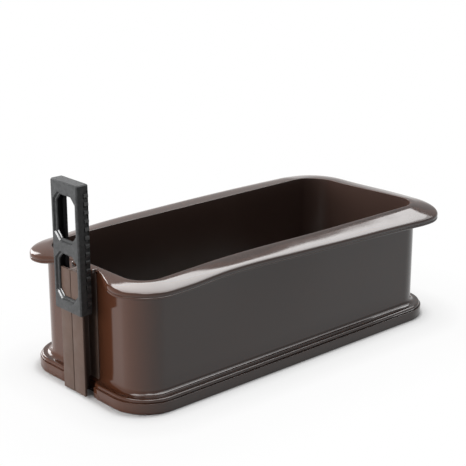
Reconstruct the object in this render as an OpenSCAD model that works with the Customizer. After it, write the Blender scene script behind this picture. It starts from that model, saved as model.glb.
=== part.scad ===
// Rectangular baking mold with a take-off wall.
// A soft silicone band makes the walls. It is split at the middle of one short side, where its
// two ends form the halves of a T-shaped rail. A slide lock runs down the rail and clamps the
// ends together, and the band's foot then grips the edge of a base plate.
// X runs along the mold with the lock at -X, Z = 0 is the table, and the origin is the middle
// of the foot. The lock is drawn part way up its rail.

/* [Baking space] */
// Length between the walls
opening_l = 240; // [200:1:320]
// Width between the walls
opening_w = 98; // [90:1:160]
// Radius of the upright corners, inside
corner_r = 15; // [11:0.5:22]
// Height from the table to the top of the flange
band_h = 80; // [60:1:110]
// Thickness of the silicone wall
wall_t = 3; // [2.4:0.1:4]

/* [Foot rim] */
// How far the rim stands out from the wall
rim_proud = 7.2; // [6:0.1:10]
// Height of the rim's shoulder
rim_h = 9.6; // [8.5:0.1:14]
// Rounding of the rim's upper and lower edges
rim_edge_r = 1.2; // [0.6:0.1:2]
// How far the rim's face leans out below its upper edge
rim_flare = 0.4; // [0.1:0.1:1]
// Fillet between the shoulder and the wall
foot_fillet_r = 2.2; // [1:0.1:3]

/* [Flange] */
// Overhang past the short walls
flange_end = 10.5; // [8:0.1:16]
// Overhang past the long walls at the corners
flange_ear = 12; // [10:0.1:20]
// Overhang past the long walls at their middle
flange_waist = 10; // [7:0.1:16]
// How much further the corners reach along their diagonal
flange_bulge = 2.2; // [0:0.1:6]
// How far the corners droop at their edge
flange_droop = 1.8; // [0:0.1:4]
// Thickness of the flange beside the wall
flange_t = 3.6; // [3:0.1:5]
// Width over which the top rolls down to the edge
roll_w = 8.5; // [6:0.1:9.5]
// Slope of the roll where the rounded edge takes over
roll_angle = 22; // [10:1:35]
// Radius of the rounded edge
edge_r = 1.9; // [1.4:0.1:2.6]
// Radius of the fine bead under the edge
bead_r = 0.8; // [0.5:0.1:1.2]
// Fillet between the flange and the wall
neck_fillet_r = 1.4; // [0.8:0.1:1.5]

/* [Base plate] */
// Thickness of the plate
plate_t = 4; // [3:0.1:5]
// How far the plate's edge reaches under the wall
plate_grip = 2.5; // [1.5:0.1:2.8]
// Chamfer on the plate's edges
plate_edge = 0.6; // [0.3:0.1:1]
// Clearance of the plate in its groove
plate_gap = 0.3; // [0.1:0.05:0.5]
// Thickness of the lip under the plate
lip_t = 2.8; // [2:0.1:3.5]
// How far the lip reaches in past the wall
lip_in = 5; // [3:0.1:7]

/* [Rail] */
// How far the rail stands out from the wall
rail_reach = 10.7; // [9.5:0.1:14]
// Width of the rail's head
head_w = 21.8; // [18:0.1:26]
// Thickness of the rail's head
head_t = 3.6; // [2.5:0.1:5]
// Width of the rail's neck
neck_w = 17.2; // [10:0.1:17.4]
// Thickness of the pad where the neck meets the wall
root_t = 0.8; // [0.4:0.1:1.2]
// Height of the rail's foot above the table
rail_foot = 2.2; // [1:0.1:5]
// Depth of the rail's top below the flange
rail_drop = 2; // [1:0.1:6]
// Slanted corners that lead the lock on to the head
lead_in = 1.5; // [0.5:0.1:2.5]
// Width of the parting seam between the two ends
seam_w = 0.4; // [0.2:0.1:0.8]

/* [Room for the lock] */
// Clearance beside the lock where the rim and the flange are cut back
lock_clear = 0.5; // [0.3:0.1:1.5]
// What is left of the rim behind the lock
rim_web = 2.2; // [1.8:0.1:2.6]
// Rounding of the rim's two ends
rim_end_r = 4; // [2:0.1:4.5]
// What is left of the flange behind the lock
recess_lip = 1.8; // [1.6:0.1:2.4]
// Distance over which the flange sweeps in towards the lock
recess_sweep = 36; // [25:1:45]

/* [Slide lock] */
// Running clearance between the lock and the rail
slide_gap = 0.3; // [0.2:0.05:0.5]
// Thickness of the front
lock_front_t = 2.2; // [1.6:0.1:3]
// Thickness of the sides
lock_side_t = 1.9; // [1.4:0.1:3]
// Thickness of the lips that reach behind the rail's head
lock_lip_t = 2.2; // [1.5:0.1:2.8]
// Thickness of the closed top
lock_top_t = 3; // [2:0.1:4]
// Chamfer on the outer edges
lock_edge = 1.2; // [0.5:0.1:1.6]
// Height of the bar above the upper window
bar_top = 6.8; // [5:0.1:9]
// Height of the bar between the windows
bar_mid = 6; // [4:0.1:9]
// Height of the bar below the lower window
bar_foot = 6; // [4:0.1:9]
// Width of the frame beside the windows
window_side = 2.1; // [1.7:0.1:3]
// Length of a window's slanted corner along each edge
window_corner = 5; // [3:0.1:7]
// Width of the ledge inside a window
ledge_w = 1; // [0.5:0.1:1.5]
// Depth of that ledge below the front
ledge_t = 0.9; // [0.5:0.1:1.3]
// Spacing of the grip teeth on the sides
tooth_pitch = 5; // [3.5:0.1:6]
// Height of a tooth's notch
tooth_l = 2.4; // [1.5:0.1:3]
// Depth of a tooth's notch
tooth_depth = 0.7; // [0.3:0.1:1]
// Width of the toothed strip
tooth_w = 3; // [2:0.1:3.8]
// Height of the lock above its closed place
lock_raise = 50.6; // [0.6:0.1:70]

/* [Hidden] */
$fn = 96;
// Straight steps in an arc of a section, and how far cuts run past what they cut.
arc_steps = 4;
over = 1;

wall_x = opening_l / 2 + wall_t;
wall_y = opening_w / 2 + wall_t;
wall_r = corner_r + wall_t;
wall_cx = wall_x - wall_r;
wall_cy = wall_y - wall_r;
rim_x = wall_x + rim_proud;
groove_top = lip_t + plate_t + plate_gap;
groove_in = plate_grip + plate_gap - wall_t;

// The flange's edge, measured from its outermost point and from the flange's top.
roll_r = (roll_w - edge_r * (1 - sin(roll_angle))) / sin(roll_angle);
edge_c = [-edge_r, -roll_r * (1 - cos(roll_angle)) - edge_r * cos(roll_angle)];
crease_a = -40;
bead_a = 60;
bead_end_a = -110;
crease = edge_c + edge_r * [cos(crease_a), sin(crease_a)];
bead_c = crease - bead_r * [cos(bead_a), sin(bead_a)];
edge_points = concat(
    arc([-roll_w, -roll_r], roll_r, 90, 90 - roll_angle),
    after_first(arc(edge_c, edge_r, 90 - roll_angle, crease_a)),
    after_first(arc(bead_c, bead_r, bead_a, bead_end_a))
);
corner_steps = 9;
side_steps = 10;
// The flange's inner edge stands back a little from the wall's.
inner_step = 0.25;

rail_x = wall_x + rail_reach;
rail_top = band_h - rail_drop;
rail_h = rail_top - rail_foot;

lock_w = head_w + 2 * (slide_gap + lock_side_t);
lock_d = lock_front_t + head_t + 2 * slide_gap + lock_lip_t;
lock_len = rail_h + lock_top_t;
lock_front_x = -(rail_x + slide_gap + lock_front_t);
lock_z = rail_foot + lock_raise;
channel_w = head_w + 2 * slide_gap;
channel_d = head_t + 2 * slide_gap;
slot_w = neck_w + 2 * slide_gap;
channel_h = lock_len - lock_top_t;
window_w = lock_w - 2 * window_side;
window_h = (lock_len - bar_top - bar_mid - bar_foot) / 2;
window_z = [bar_foot, bar_foot + window_h + bar_mid];
ledge_cut = ledge_w * (2 - sqrt(2));
lock_half = lock_w / 2 + lock_clear;
tooth_count = floor((lock_len - tooth_pitch) / tooth_pitch);
tooth_start = (lock_len - (tooth_count - 1) * tooth_pitch) / 2;

// Eases from 0 to 1.
function smooth(t) = let (c = min(1, max(0, t))) c * c * (3 - 2 * c);

// Points on an arc round c, from angle a0 to a1.
function arc(c, r, a0, a1) =
    [for (i = [0:arc_steps]) let (a = a0 + (a1 - a0) * i / arc_steps) c + r * [cos(a), sin(a)]];

function after_first(points) = [for (i = [1:len(points) - 1]) points[i]];

module both_x() {
    children();
    mirror([1, 0, 0]) children();
}

module both_y() {
    children();
    mirror([0, 1, 0]) children();
}

// Sweeps a profile round the wall. In the profile, x = 0 is the wall's outer face and y is height.
module along_wall() {
    both_y() translate([-wall_cx, 0, 0]) rotate([90, 0, 90])
        linear_extrude(2 * wall_cx) translate([wall_y, 0]) children();
    both_x() translate([0, wall_cy, 0]) rotate([90, 0, 0])
        linear_extrude(2 * wall_cy) translate([wall_x, 0]) children();
    both_x() both_y() translate([wall_cx, wall_cy, 0])
        rotate_extrude(angle = 90) translate([wall_r, 0]) children();
}

// Wall, foot rim, plate groove and lower lip in one section. The wall ends half way up in the
// flange, and its neck fillet runs a little way in.
module band_section() {
    neck_seat = neck_fillet_r / 3;
    neck_z = band_h - flange_t - neck_fillet_r + neck_seat;
    wall_top = band_h - flange_t / 2;
    nose_x = rim_proud - rim_flare - rim_edge_r;
    polygon(concat(
        [[-wall_t - lip_in, 0]],
        arc([rim_proud - rim_edge_r, rim_edge_r], rim_edge_r, -90, 0),
        [[rim_proud, rim_h - 2 * rim_edge_r]],
        arc([nose_x, rim_h - rim_edge_r], rim_edge_r, 0, 90),
        arc([foot_fillet_r, rim_h + foot_fillet_r], foot_fillet_r, 270, 180),
        arc([neck_fillet_r, neck_z], neck_fillet_r, 180, 90),
        [
            [neck_fillet_r, wall_top],
            [-wall_t, wall_top],
            [-wall_t, groove_top],
            [groove_in, groove_top],
            [groove_in, lip_t],
            [-wall_t - lip_in, lip_t]
        ]
    ));
}

// Overhang at a corner, from the short side's normal (0) to the long side's (90).
function corner_overhang(a) =
    flange_end + (flange_ear - flange_end) * pow(sin(a), 2) + flange_bulge * pow(sin(2 * a), 2);

function long_overhang(x) = flange_waist + (flange_ear - flange_waist) * smooth(abs(x) / wall_cx);

// Near the rail the overhang sweeps in to a narrow lip; far is the distance from the lock's side.
function swept(overhang, far) = recess_lip + (overhang - recess_lip) * smooth(far / recess_sweep);

// One stop on the way round the wall: place, outward direction, overhang and share of the droop.
function corner_stop(side_x, side_y, a) =
    let (n = [side_x * cos(a), side_y * sin(a)],
         far = wall_cy - lock_half + wall_r * a * PI / 180,
         w = corner_overhang(a))
    [[side_x * wall_cx, side_y * wall_cy] + wall_r * n, n, side_x < 0 ? swept(w, far) : w, 1];

function long_stop(side_y, x) =
    [[x, side_y * wall_y], [0, side_y], long_overhang(x), smooth(abs(x) / wall_cx)];

function short_stop(side_x, y) =
    [[side_x * wall_x, y], [side_x, 0],
     side_x < 0 ? swept(flange_end, abs(y) - lock_half) : flange_end,
     smooth(abs(y) / wall_cy)];

flange_stops = concat(
    [for (i = [0:corner_steps - 1]) corner_stop(1, 1, 90 * i / corner_steps)],
    [for (i = [0:side_steps - 1]) long_stop(1, wall_cx * (1 - 2 * i / side_steps))],
    [for (i = [0:corner_steps - 1]) corner_stop(-1, 1, 90 * (1 - i / corner_steps))],
    [for (i = [0:side_steps - 1]) short_stop(-1, wall_cy * (1 - 2 * i / side_steps))],
    [for (i = [0:corner_steps - 1]) corner_stop(-1, -1, 90 * i / corner_steps)],
    [for (i = [0:side_steps - 1]) long_stop(-1, wall_cx * (2 * i / side_steps - 1))],
    [for (i = [0:corner_steps - 1]) corner_stop(1, -1, 90 * (1 - i / corner_steps))],
    [for (i = [0:side_steps - 1]) short_stop(1, wall_cy * (2 * i / side_steps - 1))]
);

// The flange's section for one stop, as distance out from the wall's face and height over its top.
// A narrow overhang has the same edge, made smaller.
function flange_section(w, droop) =
    let (k = min(1, w / flange_waist))
    concat(
        [[inner_step - wall_t, -flange_t], [inner_step - wall_t, 0]],
        [for (p = edge_points)
            let (out = w + k * p[0])
            [out, k * p[1] - droop * pow(max(0, out / w), 2)]],
        [[w - k * roll_w, -flange_t]]
    );

module flange() {
    rings = [for (s = flange_stops) flange_section(s[2], flange_droop * s[3])];
    stops = len(rings);
    size = len(rings[0]);
    points = [for (i = [0:stops - 1]) for (p = rings[i])
        let (at = flange_stops[i][0] + p[0] * flange_stops[i][1])
        [at[0], at[1], band_h + p[1]]];
    faces = [for (i = [0:stops - 1]) for (j = [0:size - 1])
        let (a = i * size, b = (i + 1) % stops * size, k = (j + 1) % size)
        each [[a + j, b + j, b + k], [a + j, b + k, a + k]]];
    polyhedron(points, faces, convexity = 6);
}

// Room in the foot rim: its two ends stop short of the lock, with rounded corners.
module rim_notch() {
    notch_h = rim_h + foot_fillet_r + 2 * over;
    translate([0, 0, -over]) linear_extrude(notch_h) {
        translate([-rim_x - over, -lock_half]) square([rim_proud - rim_web + over, 2 * lock_half]);
        both_y() difference() {
            translate([-rim_x - over, lock_half]) square([rim_end_r + over, rim_end_r]);
            translate([rim_end_r - rim_x, lock_half + rim_end_r]) circle(rim_end_r);
        }
    }
}

// The plate's groove where it runs past the rail's root.
module plate_room(w) {
    translate([-wall_x - groove_in, -w / 2 - over, lip_t])
        cube([wall_t + over, w + 2 * over, plate_t + plate_gap]);
}

// The T-shaped rail that the band's two ends make together. Its root goes half way into the wall.
module rail() {
    neck_in = wall_x - wall_t / 2;
    head_back = rail_x - head_t;
    half = head_w / 2;
    difference() {
        translate([-wall_x - root_t, -half, rail_foot]) cube([root_t + wall_t / 2, head_w, rail_h]);
        plate_room(head_w);
    }
    difference() {
        translate([-head_back - head_t / 2, -neck_w / 2, rail_foot])
            cube([head_back + head_t / 2 - neck_in, neck_w, rail_h]);
        plate_room(neck_w);
    }
    translate([-rail_x, 0, 0]) rotate([90, 0, 90]) linear_extrude(head_t) polygon([
        [-half, rail_foot],
        [half, rail_foot],
        [half, rail_top - lead_in],
        [half - lead_in, rail_top],
        [lead_in - half, rail_top],
        [-half, rail_top - lead_in]
    ]);
}

module silicone_band() {
    color("#4a2a1e") difference() {
        union() {
            difference() {
                union() {
                    along_wall() band_section();
                    flange();
                }
                rim_notch();
            }
            rail();
        }
        translate([-rail_x - over, -seam_w / 2, -over])
            cube([rail_reach + wall_t + lip_in + 2 * over, seam_w, band_h + 2 * over]);
    }
}

// The plate that the foot's groove grips all round.
module base_plate() {
    edge = plate_grip - wall_t;
    inner = over - wall_r;
    fill_l = 2 * (wall_cx + over);
    fill_w = 2 * (wall_cy + over);
    color("#6f7f7c") translate([0, 0, lip_t]) {
        along_wall() polygon([
            [inner, 0],
            [edge - plate_edge, 0],
            [edge, plate_edge],
            [edge, plate_t - plate_edge],
            [edge - plate_edge, plate_t],
            [inner, plate_t]
        ]);
        translate([0, 0, plate_t / 2]) cube([fill_l, fill_w, plate_t], center = true);
    }
}

// A rectangle with slanted corners, centred on its own middle.
module slanted(w, h, c) {
    polygon([
        [c - w / 2, -h / 2], [w / 2 - c, -h / 2], [w / 2, c - h / 2], [w / 2, h / 2 - c],
        [w / 2 - c, h / 2], [c - w / 2, h / 2], [-w / 2, h / 2 - c], [-w / 2, c - h / 2]
    ]);
}

// An upright panel of the given width with its two upper corners slanted.
module top_slanted(w, h, c) {
    polygon([[-w / 2, 0], [w / 2, 0], [w / 2, h - c], [w / 2 - c, h], [c - w / 2, h], [-w / 2, h - c]]);
}

// The lock's outer form: chamfered along its uprights and round its top.
module lock_blank() {
    intersection() {
        translate([lock_d / 2, 0, 0]) linear_extrude(lock_len) slanted(lock_d, lock_w, lock_edge);
        rotate([90, 0, 90]) linear_extrude(lock_d) top_slanted(lock_w, lock_len, lock_edge);
        translate([lock_d / 2, 0, 0]) rotate([90, 0, 0])
            linear_extrude(lock_w, center = true) top_slanted(lock_d, lock_len, lock_edge);
    }
}

module lock_window() {
    inner_w = window_w - 2 * ledge_w;
    inner_h = window_h - 2 * ledge_w;
    translate([-over, 0, window_h / 2]) rotate([90, 0, 90]) {
        linear_extrude(over + ledge_t) slanted(window_w, window_h, window_corner);
        linear_extrude(2 * over + lock_front_t) slanted(inner_w, inner_h, window_corner - ledge_cut);
    }
}

// A row of saw-tooth notches along the back of one side.
module lock_teeth() {
    for (i = [0:tooth_count - 1])
        translate([lock_d - lock_edge - tooth_w, lock_w / 2, tooth_start + i * tooth_pitch])
            rotate([90, 0, 90]) linear_extrude(tooth_w) polygon([
                [over, -tooth_l / 2],
                [-tooth_depth, -tooth_l / 2],
                [0, tooth_l / 2],
                [over, tooth_l / 2]
            ]);
}

module slide_lock() {
    color("#4b4e50") translate([lock_front_x, 0, lock_z]) difference() {
        lock_blank();
        translate([lock_front_t, -channel_w / 2, -over]) cube([channel_d, channel_w, channel_h + over]);
        translate([lock_front_t + channel_d / 2, -slot_w / 2, -over])
            cube([lock_d, slot_w, channel_h + over]);
        for (z = window_z)
            translate([0, 0, z]) lock_window();
        both_y() lock_teeth();
    }
}

silicone_band();
base_plate();
slide_lock();
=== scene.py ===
"""The looks of the rectangular baking mold.

A glossy silicone band with a rolled flange and a matte T-rail, a slide lock of dark plastic with
grip teeth, and a tinted glass plate, on a white sweep. The mold's sizes are in millimetres and its
angles in degrees until a mesh is made. The stage's sizes are in metres.
"""
import math

import bmesh
import bpy
import numpy as np
from mathutils import Matrix, Vector


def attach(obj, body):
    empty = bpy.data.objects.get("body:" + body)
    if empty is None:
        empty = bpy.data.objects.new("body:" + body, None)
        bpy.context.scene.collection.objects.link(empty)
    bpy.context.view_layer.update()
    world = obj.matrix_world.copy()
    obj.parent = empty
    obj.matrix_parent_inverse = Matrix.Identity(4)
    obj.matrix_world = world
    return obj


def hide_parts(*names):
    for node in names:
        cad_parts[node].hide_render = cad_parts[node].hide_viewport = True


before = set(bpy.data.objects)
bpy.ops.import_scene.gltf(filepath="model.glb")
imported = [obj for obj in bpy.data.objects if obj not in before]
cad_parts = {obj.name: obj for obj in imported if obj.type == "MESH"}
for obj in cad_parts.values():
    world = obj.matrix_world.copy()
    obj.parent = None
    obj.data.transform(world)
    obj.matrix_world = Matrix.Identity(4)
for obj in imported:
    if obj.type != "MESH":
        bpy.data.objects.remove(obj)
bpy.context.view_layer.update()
scene = bpy.context.scene
MM = 0.001


def node_box(name):
    """A solid's low and high corner in millimetres, to the micron."""
    points = np.array([vertex.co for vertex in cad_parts[name].data.vertices]) / MM
    return points.min(axis=0).round(3).tolist(), points.max(axis=0).round(3).tolist()


band_low, band_high = node_box("silicone_band")
plate_low, plate_high = node_box("base_plate")
lock_low, lock_high = node_box("slide_lock")

# The wall, whose outer face lies just past the plate's edge.
PLATE_COVER = 0.5
WALL_X = plate_high[0] + PLATE_COVER
WALL_Y = plate_high[1] + PLATE_COVER
WALL_R = 18.0
WALL_T = 3.0
CORNER_X = WALL_X - WALL_R
CORNER_Y = WALL_Y - WALL_R
BAND_H = band_high[2]
SEAM_HALF = 0.2
# Heights of the sections' points on the wall's outer and inner face.
OUTER_ROWS = np.linspace(18, 68, 6)
INNER_ROWS = np.linspace(70, 12, 6)

# The foot rim, with a lip along its outer edge and a fine groove above the lip.
RIM_PROUD = 6.8
RIM_H = 9.3
RIM_EDGE = 1.4
RIM_FLARE = 0.3
RIM_FOOT_R = 1.0
RIM_ROUND_SHARE = 0.4
FOOT_FILLET = 3.6
FOOT_LIP = 0.6
FOOT_LIP_TOP = 7.0
FOOT_LIP_R = 0.2
FOOT_GROOVE = 0.35
FOOT_GROOVE_H = 0.4
FOOT_GROOVE_SLANT = 0.1
FOOT_GROOVE_EDGE = 0.02

# The rim beside the rail, by distance from the seam: a web, a nose behind the lock, and a step.
RIM_WEB = 2.2
RIM_NOSE_Y = 11.0
RIM_NOSE_R = 1.2
RIM_BEHIND = 3.7
RIM_STEP_Y = 13.5
RIM_STEP_R = 0.9
RIM_STEP = 6.3
RIM_FULL_Y = 19.0

# The lip below the plate and the groove for the plate's edge.
PLATE_GAP = 0.3
LIP_IN = 5.0
LIP_T = plate_low[2]
LIP_EDGE = 0.5
GROOVE_TOP = plate_high[2] + PLATE_GAP
GROOVE_OUT = PLATE_GAP - PLATE_COVER

# The rail.
RAIL_FRONT = band_low[0]
RAIL_FOOT = 0.6
RAIL_DROP = 2.0
RAIL_TOP = BAND_H - RAIL_DROP
RAIL_SUNK = 0.1
RAIL_ROUND = 0.5
RAIL_ROUND_STEPS = 3
HEAD_HALF = 10.9
HEAD_T = 1.7
NECK_HALF = 3.0
PAD_HALF = 11.5
PAD_T = 0.8
LEAD_IN = 1.5

# The slide lock.
LOCK_FRONT = lock_low[0]
LOCK_BACK = lock_high[0]
LOCK_HALF_W = lock_high[1]
LOCK_FOOT = lock_low[2]
LOCK_TOP = lock_high[2]
LOCK_EDGE = 0.8
LOCK_ROUND = 0.2
LOCK_ROUND_STEPS = 2
FRONT_T = 2.2
LOCK_LIP_T = 2.2
ROOF_T = 3.0
SLIDE_GAP = 0.3
CHANNEL_ROOF = LOCK_TOP - ROOF_T
CHANNEL_HALF = HEAD_HALF + SLIDE_GAP
SLOT_HALF = 8.9
CUT_PAST = 1.0

# Its windows, with slanted corners, drafted sides and a ledge.
WINDOW_W = 22.0
WINDOW_H = 30.0
WINDOW_BAR = 6.0
WINDOW_FEET = (LOCK_FOOT + WINDOW_BAR, LOCK_FOOT + 2 * WINDOW_BAR + WINDOW_H)
WINDOW_CORNER = 5.0
WINDOW_DRAFT = 0.45
LEDGE_W = 1.0
LEDGE_T = 1.3
CORNER_CUT = 2 - math.sqrt(2)

# Its grip teeth, in the middle of each side's height.
TOOTH_PITCH = 5.0
TOOTH_COUNT = 14
TOOTH_START = (LOCK_TOP - LOCK_FOOT - (TOOTH_COUNT - 1) * TOOTH_PITCH) / 2
TOOTH_SIDES = 8
TOOTH_L = 3.0
TOOTH_DEPTH = 0.65
TOOTH_W = 3.0
TOOTH_BACK = 0.4
TOOTH_GAP = 0.65

# The flange on three sides, as rows of place along the side, overhang and slope.
FLANGE_NEAR = ((-CORNER_X, 10.9, 12), (-88, 11.5, 10.6), (-70, 11.5, 8.1), (-54, 11.7, 7.5),
               (-38, 12.0, 8.3), (-12, 12.2, 11.0), (10, 12.2, 12.6), (40, 12.7, 15.0),
               (62, 13.1, 16.2), (85, 13.4, 18.6), (CORNER_X, 13.6, 21.5))
FLANGE_FAR = ((-CORNER_X, 9.8, 11), (-60, 10.8, 3), (-20, 11.5, 1.5), (50, 11.5, 1.5),
              (CORNER_X, 10.0, 4))
FLANGE_RIGHT = ((-CORNER_Y, 10.5, 11), (0, 10.0, 6), (CORNER_Y, 10.0, 5))
# Its overhang and slope on the lock's side, near and far, and its bulge at each corner.
FLANGE_LEFT = {-1: (11.2, 8.0), 1: (10.5, 12.0)}
CORNER_BULGE = {(-1, -1): 0.1, (1, -1): 3.9, (1, 1): 2.0, (-1, 1): 0.6}

# The flange's section: a top that steepens outwards, a round edge and a bead below a crease.
FLANGE_T = 3.2
TOP_LEAD = 5.0
TOP_START = 0.3
TOP_TURN = 9.0
TOP_STEPS = 20
INNER_EDGE = 0.3
EDGE_R = 1.95
EDGE_NARROW_R = 0.9
EDGE_FULL = 8.0
CREASE_A = 40.0
CREASE_SHARE = 0.7
BEAD_R = 0.85
BEAD_A = 60.0
BEAD_END_A = -130.0
NECK_FILLET = 1.4
NARROW_SHARE = 0.15
NARROW_DROP = 0.2
UNDER_W = 6.5
UNDER_RISE = 0.25
UNDER_CLEAR = 1.05

# The flange sweeps in beside the lock, and a nub caps the rail.
LOCK_CLEAR = 0.5
LOCK_SPACE = LOCK_HALF_W + LOCK_CLEAR
RECESS_LIP = 0.7
RECESS_SWEEP = 27.0
NUB = 2.6
NUB_HALF = HEAD_HALF
NUB_ROUND = 1.2

# How far the soft top leans in along the near side, and sinks at the lock's end and the far corner.
LEAN_IN = 2.4
LEAN_MIDDLE = -41.0
LEAN_REACH = 75.0
SINK_LOCK = 0.8
SINK_LOCK_X = -60.0
SINK_LOCK_REACH = 60.0
SINK_FAR = 1.8
SINK_FAR_X = 95.0
SINK_FAR_REACH = 28.0
SINK_FAR_Y = -40.0
SINK_FAR_WIDTH = 70.0

# Where the band's sections lie on the lock's side, by distance from the seam: on the nub's flat and
# on shares of its round, behind the lock, and every millimetre from the full rim to the corner.
NUB_FLAT_STOPS = (SEAM_HALF, 3.0, 6.0, 8.5)
NUB_ROUND_STOPS = tuple(NUB_HALF - NUB_ROUND * share for share in (1, 2 / 3, 1 / 3, 1 / 6, 1 / 24, 0))
BEHIND_STOPS = (12.6, 13.0, 13.3)
FULL_RIM_STOPS = range(math.ceil(RIM_FULL_Y) + 1, math.ceil(CORNER_Y))
# How many sections there are on a small round, a corner, a long side and a short side.
ROUND_STEPS = 8
CORNER_STEPS = 28
LONG_STEPS = 90
SHORT_STEPS = 24

# Angles past which an edge is rounded, or shaded as sharp, and tolerances.
ROUNDED_ANGLE = 25.0
BAND_SHARP = 38.0
LOCK_SHARP = 12.0
FLAT_ANGLE = 1.0
MERGE_GAP = 0.002
ON_WALL = 0.01
ON_LOCK = 0.1
SLANT_SHARE = 0.6


def smooth(t):
    t = min(1.0, max(0.0, t))
    return t * t * (3 - 2 * t)


def mix(a, b, t):
    return a + (b - a) * t


def arc(cx, cz, r, a0, a1, steps):
    angles = [math.radians(mix(a0, a1, i / steps)) for i in range(steps + 1)]
    return [(cx + r * math.cos(a), cz + r * math.sin(a)) for a in angles]


def add_object(name, data):
    obj = bpy.data.objects.new(name, data)
    scene.collection.objects.link(obj)
    return obj


def mesh_from_bmesh(name, bm):
    bmesh.ops.recalc_face_normals(bm, faces=bm.faces)
    mesh = bpy.data.meshes.new(name)
    bm.to_mesh(mesh)
    bm.free()
    return mesh


def shade(obj, angle):
    """Smooth shading that keeps edges sharper than the angle."""
    obj.data.polygons.foreach_set("use_smooth", [True] * len(obj.data.polygons))
    obj.data.set_sharp_from_angle(angle=math.radians(angle))


def settle(obj):
    """Turns an object's modifiers into its plain mesh."""
    graph = bpy.context.evaluated_depsgraph_get()
    mesh = bpy.data.meshes.new_from_object(obj.evaluated_get(graph))
    obj.modifiers.clear()
    obj.data = mesh


def combine(obj, others, operation):
    """Unites or cuts an object with others, which are then removed."""
    for other in others:
        tool = obj.modifiers.new(other.name, "BOOLEAN")
        tool.operation = operation
        tool.solver = "MANIFOLD"
        tool.object = other
    settle(obj)
    for other in others:
        bpy.data.objects.remove(other)


def prism(name, outline, place, low, high, far_outline=None):
    """A closed prism, or one that tapers to another outline: place turns a point of an outline and
    a height into x, y, z."""
    bm = bmesh.new()
    ends = ((outline, low), (far_outline or outline, high))
    rings = [[bm.verts.new([c * MM for c in place(p, h)]) for p in points] for points, h in ends]
    count = len(outline)
    for i in range(count):
        j = (i + 1) % count
        bm.faces.new((rings[0][i], rings[0][j], rings[1][j], rings[1][i]))
    for ring in rings:
        bm.faces.new(ring)
    return add_object(name, mesh_from_bmesh(name, bm))


def upright(p, h):
    return p[0], p[1], h


def along_x(p, h):
    return h, p[0], p[1]


def block(name, low, high):
    outline = [(low[0], low[1]), (high[0], low[1]), (high[0], high[1]), (low[0], high[1])]
    return prism(name, outline, upright, low[2], high[2])


def soften(obj, width, steps):
    """Rounds every edge that isn't nearly flat."""
    bm = bmesh.new()
    bm.from_mesh(obj.data)
    bmesh.ops.remove_doubles(bm, verts=bm.verts, dist=MERGE_GAP * MM)
    bmesh.ops.dissolve_limit(bm, angle_limit=math.radians(FLAT_ANGLE), verts=bm.verts, edges=bm.edges)
    limit = math.radians(ROUNDED_ANGLE)
    sharp = [e for e in bm.edges if e.is_manifold and e.calc_face_angle() > limit]
    bmesh.ops.bevel(bm, geom=sharp, offset=width * MM, segments=steps, profile=0.5, affect="EDGES",
                    clamp_overlap=True)
    bm.to_mesh(obj.data)
    bm.free()


# Silicone band

GLOSS, MATTE, SATIN = 0, 1, 2


def along(table, place):
    """The overhang and slope at a place, on a smooth curve through the table's rows."""
    rows = np.array(table, float)
    places, values = rows[:, 0], rows[:, 1:]
    i = min(max(int(np.searchsorted(places, place)) - 1, 0), len(rows) - 2)
    span = places[i + 1] - places[i]
    t = (place - places[i]) / span
    rise = np.gradient(values, places, axis=0) * span
    curve = (2 * t**3 - 3 * t**2 + 1) * values[i] + (t**3 - 2 * t**2 + t) * rise[i]
    return curve + (3 * t**2 - 2 * t**3) * values[i + 1] + (t**3 - t**2) * rise[i + 1]


def swept_in(overhang, far):
    """Near the rail the flange sweeps in to a narrow lip."""
    t = min(1.0, max(0.0, far / RECESS_SWEEP))
    return mix(RECESS_LIP, overhang, (t + smooth(t)) / 2)


def end_stop(y, side_y, rim):
    """A stop on the lock's side, where a round-ended nub caps the rail."""
    overhang, slope = FLANGE_LEFT[side_y]
    overhang = swept_in(overhang, y - LOCK_SPACE)
    if y < NUB_HALF:
        short = max(0.0, y - NUB_HALF + NUB_ROUND) / NUB_ROUND
        overhang = mix(RECESS_LIP, NUB, math.sqrt(1 - short**2))
    return (-WALL_X, side_y * y, -1, 0, overhang, slope, rim)


def corner_stop(side_x, side_y, a):
    nx, ny = side_x * math.cos(a), side_y * math.sin(a)
    end = FLANGE_LEFT[side_y] if side_x < 0 else along(FLANGE_RIGHT, side_y * CORNER_Y)
    side = along(FLANGE_NEAR if side_y < 0 else FLANGE_FAR, side_x * CORNER_X)
    turn = math.sin(a) ** 2
    overhang = mix(end[0], side[0], turn) + CORNER_BULGE[side_x, side_y] * math.sin(2 * a) ** 2
    if side_x < 0:
        overhang = swept_in(overhang, CORNER_Y - LOCK_SPACE + WALL_R * a)
    x, y = side_x * CORNER_X + WALL_R * nx, side_y * CORNER_Y + WALL_R * ny
    return (x, y, nx, ny, overhang, mix(end[1], side[1], turn), RIM_PROUD)


def long_stop(x, side_y):
    overhang, slope = along(FLANGE_NEAR if side_y < 0 else FLANGE_FAR, x)
    return (x, side_y * WALL_Y, 0, side_y, overhang, slope, RIM_PROUD)


def right_stop(y):
    overhang, slope = along(FLANGE_RIGHT, y)
    return (WALL_X, y, 1, 0, overhang, slope, RIM_PROUD)


def quarter_round(place, radius, low, high):
    """Stops on a quarter round, over which the rim's reach grows from low to high."""
    turns = [math.radians(90 * i / ROUND_STEPS) for i in range(ROUND_STEPS + 1)]
    return [(place + radius * (1 - math.cos(t)), mix(low, high, math.sin(t))) for t in turns]


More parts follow.
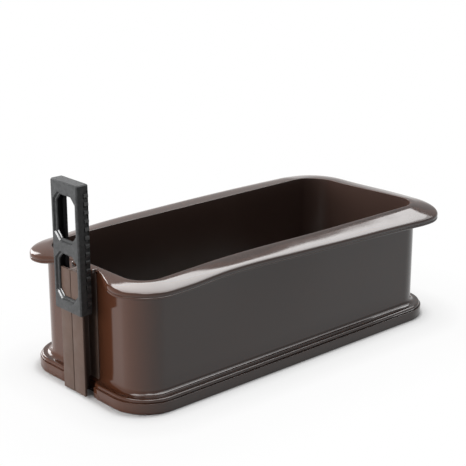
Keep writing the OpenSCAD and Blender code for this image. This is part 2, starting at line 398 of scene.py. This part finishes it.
def rail_side_stops():
    """Distance from the seam and reach of the rim, from the seam to the corner."""
    stops = [(y, RIM_WEB) for y in NUB_FLAT_STOPS + NUB_ROUND_STOPS]
    stops += quarter_round(RIM_NOSE_Y, RIM_NOSE_R, RIM_WEB, RIM_BEHIND)
    stops += [(y, RIM_BEHIND) for y in BEHIND_STOPS]
    stops += quarter_round(RIM_STEP_Y, RIM_STEP_R, RIM_BEHIND, RIM_STEP)
    step_end = RIM_STEP_Y + RIM_STEP_R
    for i in range(1, ROUND_STEPS + 1):
        t = i / ROUND_STEPS
        stops.append((mix(step_end, RIM_FULL_Y, t), mix(RIM_STEP, RIM_PROUD, smooth(t))))
    return stops + [(y, RIM_PROUD) for y in FULL_RIM_STOPS]


def between_corners(reach, steps):
    return [mix(-reach, reach, i / steps) for i in range(1, steps)]


def band_stops():
    """Places round the wall from one side of the seam to the other: x, y, outward direction,
    overhang and slope of the flange, and reach of the rim."""
    near_rail = rail_side_stops()
    turn = [math.radians(90 * i / CORNER_STEPS) for i in range(CORNER_STEPS + 1)]
    side = between_corners(CORNER_X, LONG_STEPS)
    stops = [end_stop(y, -1, rim) for y, rim in near_rail]
    stops += [corner_stop(-1, -1, a) for a in turn]
    stops += [long_stop(x, -1) for x in side]
    stops += [corner_stop(1, -1, a) for a in reversed(turn)]
    stops += [right_stop(y) for y in between_corners(CORNER_Y, SHORT_STEPS)]
    stops += [corner_stop(1, 1, a) for a in turn]
    stops += [long_stop(x, 1) for x in reversed(side)]
    stops += [corner_stop(-1, 1, a) for a in reversed(turn)]
    stops += [end_stop(y, 1, rim) for y, rim in reversed(near_rail)]
    return stops


def flange_top(inner, outer, slope):
    """The top from its inner edge to the edge's round, steeper the further out."""
    points, z = [(inner, 0.0)], 0.0
    width = (outer - inner) / TOP_STEPS
    for i in range(TOP_STEPS):
        t = (i + 0.5) / TOP_STEPS
        lead = TOP_START + (1 - TOP_START) * smooth((outer - inner) * t / TOP_LEAD)
        z -= width * math.tan(math.radians(slope * lead + TOP_TURN * t**4))
        points.append((inner + width * (i + 1), z))
    return points


def flange_section(overhang, slope):
    """The flange from its underside round the bead, edge and top to the inner edge, as distance
    out from the wall and height over the flange's top."""
    full = smooth(overhang / EDGE_FULL)
    edge_r = mix(EDGE_NARROW_R, EDGE_R, full)
    bead_r = min(BEAD_R, NARROW_SHARE * overhang)
    neck_r = min(NECK_FILLET, NARROW_SHARE * overhang)
    end = slope + TOP_TURN
    inner = INNER_EDGE - WALL_T
    top = flange_top(inner, overhang - edge_r * (1 - math.sin(math.radians(end))), slope)
    edge_x, edge_z = overhang - edge_r, top[-1][1] - edge_r * math.cos(math.radians(end))
    crease = -min(CREASE_A, math.degrees(math.acos(max(0.0, 1 - CREASE_SHARE * overhang / edge_r))))
    bead_x = edge_x + edge_r * math.cos(math.radians(crease)) - bead_r * math.cos(math.radians(BEAD_A))
    bead_z = edge_z + edge_r * math.sin(math.radians(crease)) - bead_r * math.sin(math.radians(BEAD_A))
    root_z = mix(bead_z - NARROW_DROP * overhang, -FLANGE_T, full)
    under = arc(neck_r, root_z - neck_r, neck_r, 180, 90, steps=4)
    under.append((max(UNDER_CLEAR * neck_r, overhang - UNDER_W), mix(root_z, bead_z, UNDER_RISE)))
    rounded = arc(bead_x, bead_z, bead_r, BEAD_END_A, BEAD_A, steps=10)
    rounded += arc(edge_x, edge_z, edge_r, crease, 90 - end, steps=12)[1:]
    return under + rounded + top[-2:0:-1] + arc(inner, -INNER_EDGE, INNER_EDGE, 90, 180, steps=4)


def soft_set(x, y):
    """How the top of the soft wall leans and sinks at a place."""
    bow = math.cos(math.pi / 2 * min(1.0, abs(x - LEAN_MIDDLE) / LEAN_REACH)) ** 2
    lean = LEAN_IN * bow if y < 0 else 0.0
    lock_end = smooth((SINK_LOCK_X - x) / SINK_LOCK_REACH)
    far_corner = smooth((x - SINK_FAR_X) / SINK_FAR_REACH) * smooth((y - SINK_FAR_Y) / SINK_FAR_WIDTH)
    return lean, -(SINK_LOCK * lock_end + SINK_FAR * far_corner)


def rim_section(rim):
    """The foot rim from its underside to the wall, with its outer lip and fine groove."""
    edge = min(RIM_EDGE, RIM_ROUND_SHARE * (rim - RIM_FLARE))
    fillet = min(FOOT_FILLET, rim - RIM_FLARE - edge)
    foot_r = min(RIM_FOOT_R, RIM_ROUND_SHARE * rim)
    lip, groove = FOOT_LIP * rim / RIM_PROUD, FOOT_GROOVE * rim / RIM_PROUD
    lip_r = min(FOOT_LIP_R, lip + groove)
    points = arc(rim + lip - foot_r, foot_r, foot_r, 270, 360, steps=6)
    points += arc(rim + lip - lip_r, FOOT_LIP_TOP - lip_r, lip_r, 0, 90, steps=4)
    points.append((rim - groove, FOOT_LIP_TOP + FOOT_GROOVE_SLANT))
    points.append((rim - groove, FOOT_LIP_TOP + FOOT_GROOVE_H))
    points.append((rim - FOOT_GROOVE_EDGE, FOOT_LIP_TOP + 2 * FOOT_GROOVE_H))
    points += arc(rim - RIM_FLARE - edge, RIM_H - edge, edge, 0, 90, steps=6)
    return points + arc(fillet, RIM_H + fillet, fillet, 270, 180, steps=8)


def band_section(overhang, slope, rim):
    """The whole section at one stop: lip, rim, wall, flange, inner wall and plate groove."""
    lip_x = -WALL_T - LIP_IN + LIP_EDGE
    points = arc(lip_x, LIP_EDGE, LIP_EDGE, 180, 270, steps=3)
    points += rim_section(rim)
    points += [(0.0, z) for z in OUTER_ROWS]
    points += [(out, BAND_H + z) for out, z in flange_section(overhang, slope)]
    points += [(-WALL_T, z) for z in INNER_ROWS]
    points += [(-WALL_T, GROOVE_TOP), (GROOVE_OUT, GROOVE_TOP), (GROOVE_OUT, LIP_T)]
    return points + arc(lip_x, LIP_T - LIP_EDGE, LIP_EDGE, 90, 180, steps=3)


def loft_band():
    bm = bmesh.new()
    rings = []
    for x, y, nx, ny, overhang, slope, rim in band_stops():
        lean, sink = soft_set(x, y)
        section = band_section(overhang, slope, rim)
        ring = []
        for out, z in section:
            soft = smooth((z - RIM_H) / (BAND_H - RIM_H))
            place = Vector((x + out * nx, y + out * ny + lean * soft, z + sink * soft))
            ring.append(bm.verts.new(place * MM))
        rings.append(ring)
    # All sections have the same points in the same order, so the last one tells which lie inside.
    inside = [out < ON_WALL - WALL_T and z >= GROOVE_TOP for out, z in section]
    size = len(section)
    for a, b in zip(rings, rings[1:]):
        for j in range(size):
            k = (j + 1) % size
            face = bm.faces.new((a[j], b[j], b[k], a[k]))
            face.material_index = SATIN if inside[j] and inside[k] else GLOSS
    bm.faces.new(rings[0])
    bm.faces.new(rings[-1])
    return add_object("silicone_band_soft", mesh_from_bmesh("silicone_band_soft", bm))


def rail_half(side):
    """One end's half of the T-rail, rooted in the wall and slanted at its top corner."""
    root, pad = RAIL_SUNK - WALL_X, -WALL_X - PAD_T
    head_back = RAIL_FRONT + HEAD_T
    outline = [(root, SEAM_HALF), (root, PAD_HALF), (pad, PAD_HALF), (pad, NECK_HALF),
               (head_back, NECK_HALF), (head_back, HEAD_HALF), (RAIL_FRONT, HEAD_HALF),
               (RAIL_FRONT, SEAM_HALF)]
    name = "rail_half"
    half = prism(name, outline, lambda p, h: (p[0], side * p[1], h), RAIL_FOOT, RAIL_TOP)
    bm = bmesh.new()
    bm.from_mesh(half.data)
    on_slant = Vector((0, side * HEAD_HALF, RAIL_TOP - LEAD_IN)) * MM
    cut = bmesh.ops.bisect_plane(bm, geom=bm.verts[:] + bm.edges[:] + bm.faces[:], plane_co=on_slant,
                                 plane_no=Vector((0, side, 1)), clear_outer=True)
    edges = [e for e in cut["geom_cut"] if isinstance(e, bmesh.types.BMEdge)]
    bmesh.ops.holes_fill(bm, edges=edges, sides=0)
    half.data = mesh_from_bmesh(name, bm)
    soften(half, RAIL_ROUND, RAIL_ROUND_STEPS)
    half.data.polygons.foreach_set("material_index", [MATTE] * len(half.data.polygons))
    return half


def make_band(finishes):
    band = loft_band()
    rails = [rail_half(-1), rail_half(1)]
    for obj in [band] + rails:
        for finish in finishes:
            obj.data.materials.append(finish)
    combine(band, rails, "UNION")
    shade(band, BAND_SHARP)
    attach(band, "mold")
    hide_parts("silicone_band")


# Slide lock

# The lock's finishes: plain plastic, polish on the windows' lower slants, and painted shade on the
# channel's faces.
PLASTIC, POLISH, PAINTED_SHADE = 0, 1, 2


def slanted(width, height, corner):
    w, h = width / 2, height / 2
    return [(corner - w, -h), (w - corner, -h), (w, corner - h), (w, h - corner),
            (w - corner, h), (corner - w, h), (-w, h - corner), (-w, corner - h)]


def lock_blank():
    """The lock's outer form, chamfered along its uprights and round its top."""
    blank = block("slide_lock_body", (LOCK_FRONT, -LOCK_HALF_W, LOCK_FOOT),
                  (LOCK_BACK, LOCK_HALF_W, LOCK_TOP))
    bm = bmesh.new()
    bm.from_mesh(blank.data)
    middle = (LOCK_FOOT + LOCK_TOP) / 2 * MM
    edges = [e for e in bm.edges if max(v.co.z for v in e.verts) > middle]
    bmesh.ops.bevel(bm, geom=edges, offset=LOCK_EDGE * MM, segments=1, affect="EDGES")
    blank.data = mesh_from_bmesh(blank.name, bm)
    return blank


def channel_cutters():
    """The rail's channel, and the slot between the lips behind it."""
    inside, below = LOCK_FRONT + FRONT_T, LOCK_FOOT - CUT_PAST
    channel_back, slot_back = LOCK_BACK - LOCK_LIP_T, LOCK_BACK + CUT_PAST
    return [
        block("channel", (inside, -CHANNEL_HALF, below), (channel_back, CHANNEL_HALF, CHANNEL_ROOF)),
        block("slot", (inside + CUT_PAST, -SLOT_HALF, below), (slot_back, SLOT_HALF, CHANNEL_ROOF)),
    ]


def window_cutters(foot):
    """A window's wide cut down to its ledge, and its narrower cut through the front."""
    middle = foot + WINDOW_H / 2
    narrow_corner = WINDOW_CORNER - CORNER_CUT * LEDGE_W
    cutters = []
    for inset, corner, depth in ((0, WINDOW_CORNER, LEDGE_T), (LEDGE_W, narrow_corner, FRONT_T + CUT_PAST)):
        ends = []
        for ahead in (CUT_PAST, -depth):
            grow = 2 * (WINDOW_DRAFT * ahead - inset)
            slant = corner + CORNER_CUT * WINDOW_DRAFT * ahead
            outline = slanted(WINDOW_W + grow, WINDOW_H + grow, slant)
            ends.append([(y, z + middle) for y, z in outline])
        front, back = LOCK_FRONT - CUT_PAST, LOCK_FRONT + depth
        cutters.append(prism("window", ends[0], along_x, front, back, ends[1]))
    return cutters


def strip_cutter(side):
    """The recess in which one side's teeth stand."""
    front = LOCK_BACK - TOOTH_BACK - TOOTH_W - TOOTH_GAP
    foot, top = LOCK_FOOT + TOOTH_START - TOOTH_L, LOCK_TOP - TOOTH_START + TOOTH_L
    low_y, high_y = sorted((side * (LOCK_HALF_W - TOOTH_DEPTH), side * (LOCK_HALF_W + CUT_PAST)))
    return block("strip", (front, low_y, foot), (LOCK_BACK + CUT_PAST, high_y, top))


def lock_finish(face):
    """A face's finish: painted shade, near black, on the faces in the channel, and polished on the windows'
    lower slants.
    """
    x, y, z = face.center / MM
    behind_front = LOCK_FRONT + FRONT_T - ON_LOCK < x < LOCK_BACK - ON_LOCK
    # The channel's faces get painted shade: the same plastic, coloured near black.
    if behind_front and abs(y) < CHANNEL_HALF + ON_LOCK and z < CHANNEL_ROOF + ON_LOCK:
        return PAINTED_SHADE
    if face.normal.z > SLANT_SHARE and abs(face.normal.y) > SLANT_SHARE and z < CHANNEL_ROOF:
        return POLISH
    return PLASTIC


def make_lock(finishes):
    body = lock_blank()
    cutters = channel_cutters()
    for foot in WINDOW_FEET:
        cutters += window_cutters(foot)
    cutters += [strip_cutter(-1), strip_cutter(1)]
    combine(body, cutters, "DIFFERENCE")
    soften(body, LOCK_ROUND, LOCK_ROUND_STEPS)
    body.data.materials.clear()
    for finish in finishes:
        body.data.materials.append(finish)
    for face in body.data.polygons:
        face.material_index = lock_finish(face)
    shade(body, LOCK_SHARP)
    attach(body, "lock")
    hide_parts("slide_lock")


def add_node(tree, kind, **values):
    """A node with its unlinked inputs set by name."""
    node = tree.nodes.new(kind)
    for name, value in values.items():
        node.inputs[name.replace("_", " ")].default_value = value
    return node


def math_node(tree, operation, a, b):
    """A calculation with two numbers or outputs of other nodes."""
    node = tree.nodes.new("ShaderNodeMath")
    node.operation = operation
    for socket, value in zip(node.inputs, (a, b)):
        if isinstance(value, (int, float)):
            socket.default_value = value
        else:
            tree.links.new(value, socket)
    return node.outputs[0]


def tooth_shape(tree, entry):
    """One ridge: an eight-sided prism that lies along x and is flattened across y."""
    link = tree.links.new
    half_side = math.pi / TOOTH_SIDES
    half = math_node(tree, "DIVIDE", entry.outputs["Tooth height"], 2.0)
    radius = math_node(tree, "DIVIDE", half, math.cos(half_side))
    flatten = math_node(tree, "DIVIDE", entry.outputs["Tooth depth"], half)
    tooth = add_node(tree, "GeometryNodeMeshCylinder", Vertices=TOOTH_SIDES)
    link(radius, tooth.inputs["Radius"])
    link(entry.outputs["Strip width"], tooth.inputs["Depth"])
    turn = add_node(tree, "GeometryNodeTransform", Rotation=(0, 0, half_side))
    link(tooth.outputs["Mesh"], turn.inputs["Geometry"])
    lay = add_node(tree, "GeometryNodeTransform", Rotation=(0, math.radians(90), 0))
    link(turn.outputs[0], lay.inputs["Geometry"])
    scale = add_node(tree, "ShaderNodeCombineXYZ", X=1, Z=1)
    link(flatten, scale.inputs["Y"])
    squeeze = tree.nodes.new("GeometryNodeTransform")
    link(scale.outputs[0], squeeze.inputs["Scale"])
    link(lay.outputs[0], squeeze.inputs["Geometry"])
    return squeeze.outputs[0]


def tooth_tree(material):
    """Two upright rows of ridges."""
    tree = bpy.data.node_groups.new("grip_teeth", "GeometryNodeTree")
    face = tree.interface
    face.new_socket("Geometry", in_out="OUTPUT", socket_type="NodeSocketGeometry")
    sockets = {}
    for name, kind in (("Teeth", "NodeSocketInt"), ("Pitch", "NodeSocketFloat"),
                       ("Tooth height", "NodeSocketFloat"), ("Tooth depth", "NodeSocketFloat"),
                       ("Strip width", "NodeSocketFloat"), ("First left", "NodeSocketVector"),
                       ("First right", "NodeSocketVector")):
        sockets[name] = face.new_socket(name, in_out="INPUT", socket_type=kind).identifier
    link = tree.links.new
    entry = tree.nodes.new("NodeGroupInput")
    leave = tree.nodes.new("NodeGroupOutput")
    tooth = tooth_shape(tree, entry)
    offset = tree.nodes.new("ShaderNodeCombineXYZ")
    link(entry.outputs["Pitch"], offset.inputs["Z"])
    rows = tree.nodes.new("GeometryNodeJoinGeometry")
    for first in ("First left", "First right"):
        line = tree.nodes.new("GeometryNodeMeshLine")
        link(entry.outputs["Teeth"], line.inputs["Count"])
        link(entry.outputs[first], line.inputs["Start Location"])
        link(offset.outputs[0], line.inputs["Offset"])
        row = tree.nodes.new("GeometryNodeInstanceOnPoints")
        link(line.outputs[0], row.inputs["Points"])
        link(tooth, row.inputs["Instance"])
        link(row.outputs[0], rows.inputs[0])
    real = tree.nodes.new("GeometryNodeRealizeInstances")
    link(rows.outputs[0], real.inputs[0])
    paint = add_node(tree, "GeometryNodeSetMaterial", Material=material)
    link(real.outputs[0], paint.inputs["Geometry"])
    link(paint.outputs[0], leave.inputs[0])
    return tree, sockets


def make_teeth(plastic):
    teeth = add_object("slide_lock_teeth", bpy.data.meshes.new("slide_lock_teeth"))
    tree, sockets = tooth_tree(plastic)
    maker = teeth.modifiers.new("grip_teeth", "NODES")
    maker.node_group = tree
    x = LOCK_BACK - TOOTH_BACK - TOOTH_W / 2
    y, z = LOCK_HALF_W - TOOTH_DEPTH, LOCK_FOOT + TOOTH_START
    values = {
        "Teeth": TOOTH_COUNT,
        "Pitch": TOOTH_PITCH * MM,
        "Tooth height": TOOTH_L * MM,
        "Tooth depth": TOOTH_DEPTH * MM,
        "Strip width": TOOTH_W * MM,
        "First left": (x * MM, -y * MM, z * MM),
        "First right": (x * MM, y * MM, z * MM),
    }
    for name, value in values.items():
        maker[sockets[name]] = value
    settle(teeth)
    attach(teeth, "lock")


# Finishes

# The part of a noise's range over which a colour or a roughness goes from one value to the other.
NOISE_LOW = 0.3
NOISE_HIGH = 0.7


class Finish:
    """A material on a Principled shader, with helpers for noise, colour, roughness and bumps."""

    def __init__(self, name, **sockets):
        self.material = bpy.data.materials.new(name)
        self.material.use_nodes = True
        self.tree = self.material.node_tree
        self.shader = self.tree.nodes["Principled BSDF"]
        for key, value in sockets.items():
            self.shader.inputs[key.replace("_", " ")].default_value = value
        self.place = self.tree.nodes.new("ShaderNodeTexCoord").outputs["Object"]
        self.bump_out = None

    def noise(self, scale, detail, rough=0.5, stretch=(1, 1, 1)):
        turn = add_node(self.tree, "ShaderNodeMapping", Scale=stretch)
        self.tree.links.new(self.place, turn.inputs["Vector"])
        node = add_node(self.tree, "ShaderNodeTexNoise", Scale=scale, Detail=detail, Roughness=rough)
        self.tree.links.new(turn.outputs[0], node.inputs["Vector"])
        return node.outputs[0]

    def colour(self, value, first, second):
        node = self.tree.nodes.new("ShaderNodeValToRGB")
        low, high = node.color_ramp.elements
        low.position, low.color = NOISE_LOW, (*first, 1)
        high.position, high.color = NOISE_HIGH, (*second, 1)
        self.tree.links.new(value, node.inputs[0])
        self.tree.links.new(node.outputs[0], self.shader.inputs["Base Color"])

    def roughness(self, value, low, high):
        node = add_node(self.tree, "ShaderNodeMapRange", From_Min=NOISE_LOW, From_Max=NOISE_HIGH,
                        To_Min=low, To_Max=high)
        self.tree.links.new(value, node.inputs["Value"])
        self.tree.links.new(node.outputs[0], self.shader.inputs["Roughness"])

    def bump(self, value, strength, depth):
        """Adds a bump, its depth in millimetres, on top of those before it."""
        node = add_node(self.tree, "ShaderNodeBump", Strength=strength, Distance=depth * MM)
        self.tree.links.new(value, node.inputs["Height"])
        if self.bump_out:
            self.tree.links.new(self.bump_out, node.inputs["Normal"])
        self.bump_out = node.outputs[0]
        self.tree.links.new(self.bump_out, self.shader.inputs["Normal"])


def gloss_silicone():
    finish = Finish("gloss_silicone", IOR=1.53)
    finish.colour(finish.noise(scale=14, detail=2), (0.062, 0.0225, 0.0115), (0.074, 0.0265, 0.0135))
    finish.roughness(finish.noise(scale=60, detail=4, rough=0.6), low=0.07, high=0.11)
    finish.bump(finish.noise(scale=22, detail=1), strength=0.25, depth=0.5)
    finish.bump(finish.noise(scale=1400, detail=3, rough=0.6), strength=0.05, depth=0.03)
    return finish.material


def satin_silicone():
    finish = Finish("satin_silicone", IOR=1.45)
    finish.colour(finish.noise(scale=14, detail=2), (0.053, 0.031, 0.025), (0.064, 0.038, 0.030))
    finish.roughness(finish.noise(scale=80, detail=4, rough=0.6), low=0.24, high=0.27)
    finish.bump(finish.noise(scale=16, detail=1), strength=0.1, depth=0.5)
    finish.bump(finish.noise(scale=1800, detail=3, rough=0.6), strength=0.1, depth=0.03)
    return finish.material


def matte_silicone():
    finish = Finish("matte_silicone", IOR=1.45)
    cloud = finish.noise(scale=90, detail=4, rough=0.6)
    finish.colour(cloud, (0.080, 0.051, 0.039), (0.098, 0.062, 0.048))
    finish.roughness(finish.noise(scale=160, detail=3), low=0.48, high=0.62)
    streaks = finish.noise(scale=500, detail=3, rough=0.6, stretch=(1, 1, 0.2))
    finish.bump(streaks, strength=0.15, depth=0.06)
    finish.bump(finish.noise(scale=2600, detail=2), strength=0.15, depth=0.03)
    return finish.material


def lock_plastic():
    finish = Finish("lock_plastic", IOR=1.4, Specular_IOR_Level=0.3)
    grain = finish.noise(scale=450, detail=4, rough=0.75)
    finish.colour(grain, (0.036, 0.037, 0.038), (0.078, 0.079, 0.080))
    finish.roughness(finish.noise(scale=220, detail=3), low=0.40, high=0.52)
    finish.bump(finish.noise(scale=900, detail=3, rough=0.7), strength=0.6, depth=0.14)
    return finish.material


def lock_polish():
    finish = Finish("lock_polish", IOR=1.9)
    grain = finish.noise(scale=900, detail=4, rough=0.7)
    finish.colour(grain, (0.038, 0.039, 0.040), (0.068, 0.069, 0.070))
    finish.roughness(finish.noise(scale=220, detail=3), low=0.08, high=0.13)
    finish.bump(finish.noise(scale=1300, detail=2), strength=0.1, depth=0.03)
    return finish.material


# Painted shade: the lock's own plastic, coloured near black to stand in for the shade inside its channel.
def lock_painted_shade():
    finish = Finish("lock_painted_shade", IOR=1.4, Specular_IOR_Level=0.15)
    grain = finish.noise(scale=700, detail=3, rough=0.7)
    finish.colour(grain, (0.010, 0.010, 0.011), (0.018, 0.018, 0.019))
    finish.roughness(finish.noise(scale=220, detail=3), low=0.55, high=0.7)
    finish.bump(finish.noise(scale=900, detail=3, rough=0.7), strength=0.5, depth=0.1)
    return finish.material


def tooth_plastic():
    finish = Finish("tooth_plastic", IOR=1.5)
    grain = finish.noise(scale=700, detail=4, rough=0.7)
    finish.colour(grain, (0.026, 0.027, 0.028), (0.062, 0.063, 0.064))
    finish.roughness(finish.noise(scale=220, detail=3), low=0.24, high=0.32)
    finish.bump(finish.noise(scale=900, detail=3, rough=0.7), strength=0.3, depth=0.08)
    return finish.material


def tinted_glass():
    finish = Finish("tinted_glass", IOR=1.5, Transmission_Weight=1.0)
    finish.colour(finish.noise(scale=9, detail=2), (0.30, 0.34, 0.33), (0.36, 0.40, 0.39))
    finish.roughness(finish.noise(scale=20, detail=1), low=0.06, high=0.09)
    finish.bump(finish.noise(scale=12, detail=1), strength=0.03, depth=0.1)
    return finish.material


def dress_plate(glass):
    """The plate keeps its solid's mesh."""
    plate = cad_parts["base_plate"]
    plate.data.materials.clear()
    plate.data.materials.append(glass)


# Stage, light and camera

# The floor, whose white is plain away from a rounded rectangle round the object's foot.
FLOOR_HALF = 3.0
FLOOR_DROP = 0.00005
FLOOR_WHITE = 0.82
FLOOR_GREY = 0.3
FOOT_SHIFT = (0.0018, 0.0, 0.0)
FOOT_SIZE = (0.107, 0.0342, 1.0)
FOOT_ROUND = 0.025
# Distance from that rectangle's edge, and the share of plain white there.
FLOOR_PLAIN = ((-FOOT_ROUND, 1.0), (-0.018, 1.0), (-0.012, 0.0), (0.0, 0.0), (0.0015, 0.64), (0.008, 0.85),
               (0.03, 0.97), (0.08, 1.0))

# The studio's walls, white at the horizon, and the light that they throw.
WALL_GREY = 0.62
WALL_RISE = (0.02, 0.2)
WORLD_LIGHT = 0.08

# The softboxes: name, place, point aimed at or turn when it faces down, size, radiance, and which
# kind of light it leaves to others.
SHEEN_TURN = 44.3
SOFTBOXES = (
    ("overhead_sheen", (0.411, 0.209, 1.2), SHEEN_TURN, (2.08, 1.675), 5.5, "diffuse"),
    ("low_sheen", (1.232, -0.632, 1.2), SHEEN_TURN, (2.08, 0.675), 2.2, "diffuse"),
    ("front_glint", (-0.43, -0.6, 1.2), 0, (0.4, 0.4), 7.0, "diffuse"),
    ("overhead", (0.4, 0.55, 1.2), 0, (2.34, 1.8), 2.7, "glossy"),
    ("left_fill", (-0.88, 0.25, 0.22), (-0.12, 0.0, 0.08), (1.2, 0.4), 7.4, "glossy"),
    ("back_fill", (0.05, 1.18, 0.48), (0.05, 0.0, 0.48), (0.43, 0.56), 6.0, "none"),
)

# The camera, in millimetres, degrees and pixels of a square picture.
CAMERA_AZIMUTH = -41.79
CAMERA_ELEVATION = 17.86
CAMERA_DISTANCE = 830.5
CAMERA_CLIP = (10.0, 20000.0)
FOCAL_PX = 1261.0
FRAME_PX = 466.0
TARGET = Vector((0, 0, 40))
TARGET_PX = (240.1, 279.07)
SENSOR = 36.0


def grey(level):
    return (level, level, level, 1)


def mix_shaders(tree, share, first, second):
    node = tree.nodes.new("ShaderNodeMixShader")
    for socket, source in zip(node.inputs, (share, first, second)):
        tree.links.new(source, socket)
    return node.outputs[0]


def seen_directly(tree):
    """One for rays that show the surroundings, from the camera, off gloss or through glass, and
    zero for the light that is thrown on."""
    path = tree.nodes.new("ShaderNodeLightPath")
    unscattered = math_node(tree, "LESS_THAN", path.outputs["Diffuse Depth"], 1)
    shown = path.outputs["Is Camera Ray"]
    for name in ("Is Glossy Ray", "Is Transmission Ray"):
        shown = math_node(tree, "MAXIMUM", shown, path.outputs[name])
    return math_node(tree, "MULTIPLY", unscattered, shown)


def floor_share(tree):
    """How much of the floor is plain white, by its distance from the object's foot."""
    link = tree.links.new
    spot = tree.nodes.new("ShaderNodeTexCoord").outputs["Object"]
    for operation, value in (("ADD", FOOT_SHIFT), ("ABSOLUTE", None), ("SUBTRACT", FOOT_SIZE),
                             ("MAXIMUM", (0, 0, 0))):
        node = tree.nodes.new("ShaderNodeVectorMath")
        node.operation = operation
        link(spot, node.inputs[0])
        if value:
            node.inputs[1].default_value = value
        spot = node.outputs[0]
    gap = tree.nodes.new("ShaderNodeVectorMath")
    gap.operation = "LENGTH"
    link(spot, gap.inputs[0])
    ramp = tree.nodes.new("ShaderNodeValToRGB")
    stops = ramp.color_ramp.elements
    while len(stops) < len(FLOOR_PLAIN):
        stops.new(0.5)
    for stop, (reach, share) in zip(stops, FLOOR_PLAIN):
        stop.position, stop.color = FOOT_ROUND + reach, grey(share)
    link(gap.outputs["Value"], ramp.inputs[0])
    return ramp.outputs[0]


def make_floor():
    """A sweep that is seen as white and keeps the object's shadow."""
    bm = bmesh.new()
    corners = [(-1, -1), (1, -1), (1, 1), (-1, 1)]
    bm.faces.new([bm.verts.new((x * FLOOR_HALF, y * FLOOR_HALF, -FLOOR_DROP)) for x, y in corners])
    floor = add_object("floor", mesh_from_bmesh("floor", bm))
    material = bpy.data.materials.new("white_sweep")
    material.use_nodes = True
    tree = material.node_tree
    tree.nodes.clear()
    dull = add_node(tree, "ShaderNodeBsdfDiffuse", Color=grey(FLOOR_GREY))
    paper = add_node(tree, "ShaderNodeBsdfDiffuse", Color=grey(FLOOR_WHITE))
    plain = add_node(tree, "ShaderNodeEmission", Color=grey(1), Strength=1)
    seen = mix_shaders(tree, floor_share(tree), paper.outputs[0], plain.outputs[0])
    whole = mix_shaders(tree, seen_directly(tree), dull.outputs[0], seen)
    tree.links.new(whole, tree.nodes.new("ShaderNodeOutputMaterial").inputs[0])
    floor.data.materials.append(material)


def make_world():
    """A studio that is white round the horizon and grey above it, with a low fill light."""
    world = bpy.data.worlds.new("white_studio")
    scene.world = world
    world.use_nodes = True
    tree = world.node_tree
    tree.nodes.clear()
    link = tree.links.new
    place = tree.nodes.new("ShaderNodeTexCoord")
    height = tree.nodes.new("ShaderNodeSeparateXYZ")
    link(place.outputs["Object"], height.inputs[0])
    fade = add_node(tree, "ShaderNodeMapRange", From_Min=WALL_RISE[0], From_Max=WALL_RISE[1],
                    To_Min=1.0, To_Max=WALL_GREY)
    fade.interpolation_type = "SMOOTHSTEP"
    link(height.outputs["Z"], fade.inputs["Value"])
    walls = add_node(tree, "ShaderNodeBackground", Color=grey(1))
    link(fade.outputs[0], walls.inputs["Strength"])
    light = add_node(tree, "ShaderNodeBackground", Color=grey(1), Strength=WORLD_LIGHT)
    whole = mix_shaders(tree, seen_directly(tree), light.outputs[0], walls.outputs[0])
    link(whole, tree.nodes.new("ShaderNodeOutputWorld").inputs[0])


def softbox(name, place, aim, size, radiance, left_out):
    """An area lamp that faces a point, or straight down and turned by an angle."""
    lamp = bpy.data.lights.new(name, "AREA")
    lamp.shape = "RECTANGLE"
    lamp.size, lamp.size_y = size
    lamp.energy = radiance * size[0] * size[1] * math.pi
    obj = add_object(name, lamp)
    obj.location = place
    if isinstance(aim, (int, float)):
        obj.rotation_euler = (0, 0, math.radians(aim))
    else:
        obj.rotation_euler = (Vector(aim) - Vector(place)).to_track_quat("-Z", "Y").to_euler()
    obj.visible_diffuse = left_out != "diffuse"
    obj.visible_glossy = left_out != "glossy"


def make_camera():
    a, e = math.radians(CAMERA_AZIMUTH), math.radians(CAMERA_ELEVATION)
    back = Vector((math.sin(a) * math.cos(e), -math.cos(a) * math.cos(e), math.sin(e)))
    right = Vector((math.cos(a), math.sin(a), 0))
    up = back.cross(right)
    step = CAMERA_DISTANCE / FOCAL_PX
    place = TARGET + back * CAMERA_DISTANCE
    place -= right * (TARGET_PX[0] - FRAME_PX / 2) * step
    place += up * (TARGET_PX[1] - FRAME_PX / 2) * step
    camera = add_object("camera", bpy.data.cameras.new("camera"))
    camera.data.sensor_width = SENSOR
    camera.data.lens = FOCAL_PX / FRAME_PX * SENSOR
    camera.data.clip_start, camera.data.clip_end = [limit * MM for limit in CAMERA_CLIP]
    turn = Matrix((right, up, back)).transposed().to_4x4()
    camera.matrix_world = Matrix.Translation(place * MM) @ turn
    scene.camera = camera


make_camera()
make_floor()
make_world()
for box in SOFTBOXES:
    softbox(*box)
scene.view_settings.view_transform = "Standard"

make_band((gloss_silicone(), matte_silicone(), satin_silicone()))
make_lock((lock_plastic(), lock_polish(), lock_painted_shade()))
make_teeth(tooth_plastic())
dress_plate(tinted_glass())
